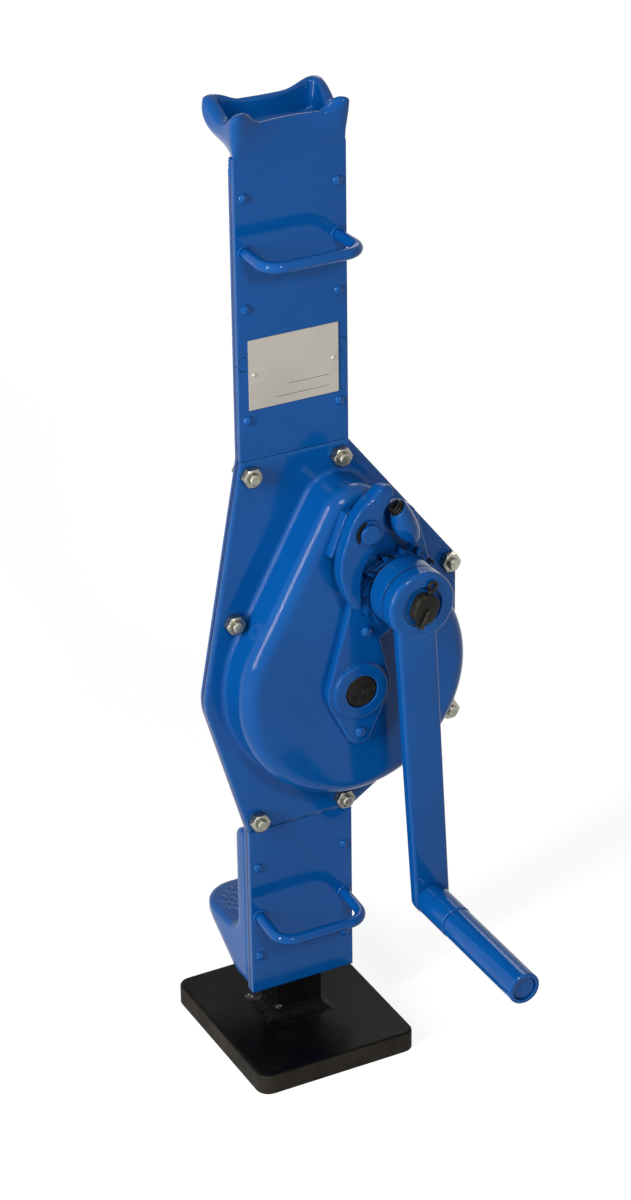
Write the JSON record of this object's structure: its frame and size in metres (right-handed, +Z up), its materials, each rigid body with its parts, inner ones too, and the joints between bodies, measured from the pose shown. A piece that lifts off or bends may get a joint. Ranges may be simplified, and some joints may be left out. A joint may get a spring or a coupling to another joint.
{
  "type": "rack jack",
  "caption": "Upright rack jack: a cranked, geared housing with a horned head and a low claw climbs a toothed rack on a square foot.",
  "frame": {"origin": "centre of the base plate's underside, on the floor", "axes": "+Z up along the rack, +X to the right seen from the crank side, -Y towards the crank and grip"},
  "size_m": [0.2014, 0.3015, 0.73],
  "materials": {
    "blue_enamel": "gloss",
    "black_paint": "satin",
    "zinc_plate": "zinc plated",
    "plate_aluminium": "satin",
    "bronze": "machined",
    "machined_steel": "machined",
    "black_oxide": "satin",
    "friction_lining": "matte"
  },
  "bodies": {
    "foot_and_rack": {"base_plate": "black_paint", "rack": "black_paint", "foot_weld": "black_paint"},
    "housing": {"upper_front_plate": "blue_enamel", "lower_front_plate": "blue_enamel", "gear_cover": "blue_enamel", "rear_shell": "blue_enamel", "guide_shoes": "bronze", "head": "blue_enamel", "claw": "blue_enamel", "upper_handle": "blue_enamel", "lower_handle": "blue_enamel", "column_rivets": "blue_enamel", "name_plate": "plate_aluminium", "name_plate_rivets": "plate_aluminium", "plate_plugs": "blue_enamel", "cover_bolts": "zinc_plate", "cover_nuts": "zinc_plate", "bearing_bracket": "blue_enamel", "bracket_rivets": "blue_enamel", "gear_front_bush": "bronze", "gear_rear_bush": "bronze", "crank_front_bush": "bronze", "crank_rear_bush": "bronze", "pawl_pin": "blue_enamel", "pawl_clip": "black_oxide", "pawl_rest": "blue_enamel", "spring_post": "blue_enamel", "pawl_spring": "black_oxide"},
    "gear_train": {"pinion_shaft": "black_oxide", "main_gear": "machined_steel", "gear_key": "machined_steel"},
    "crank": {"crank_shaft": "black_oxide", "crank_pinion": "machined_steel", "rear_friction_ring": "friction_lining", "ratchet_wheel": "black_oxide", "front_friction_ring": "friction_lining", "brake_disc": "blue_enamel", "crank_hub": "blue_enamel", "crank_arm": "blue_enamel", "split_pin": "black_oxide", "grip_spindle": "blue_enamel", "grip_end_washer": "blue_enamel"},
    "grip": {"grip_sleeve": "blue_enamel"},
    "pawl": {"pawl": "blue_enamel"}
  },
  "joints": [
    {"name": "housing_lift", "type": "slide", "parent": "foot_and_rack", "child": "housing", "axis": [0, 0, 1], "range_m": [-0.0125, 0.338]},
    {"name": "crank_turn", "type": "hinge", "parent": "housing", "child": "crank", "pos_m": [0.05554, 0, 0.38327], "axis": [0, 1, 0], "range_deg": [-360, 9810]},
    {"name": "gear_turn", "type": "hinge", "parent": "housing", "child": "gear_train", "pos_m": [0.028, 0, 0.3055], "axis": [0, 1, 0], "range_deg": [-1550, 57.5]},
    {"name": "grip_spin", "type": "hinge", "parent": "crank", "child": "grip", "pos_m": [0.06433, 0, 0.14343], "axis": [0, 1, 0], "continuous": true},
    {"name": "pawl_swing", "type": "hinge", "parent": "housing", "child": "pawl", "pos_m": [0.02904, 0, 0.43347], "axis": [0, 1, 0], "range_deg": [-5.8, 7], "stiffness_Nm_per_rad": 1.5, "deforming": ["pawl_spring"]}
  ],
  "couplings": [
    {"joint": "housing_lift", "follows": "crank_turn", "m_per_rad": 0.0019737},
    {"joint": "gear_turn", "follows": "crank_turn", "ratio": -0.15789}
  ]
}
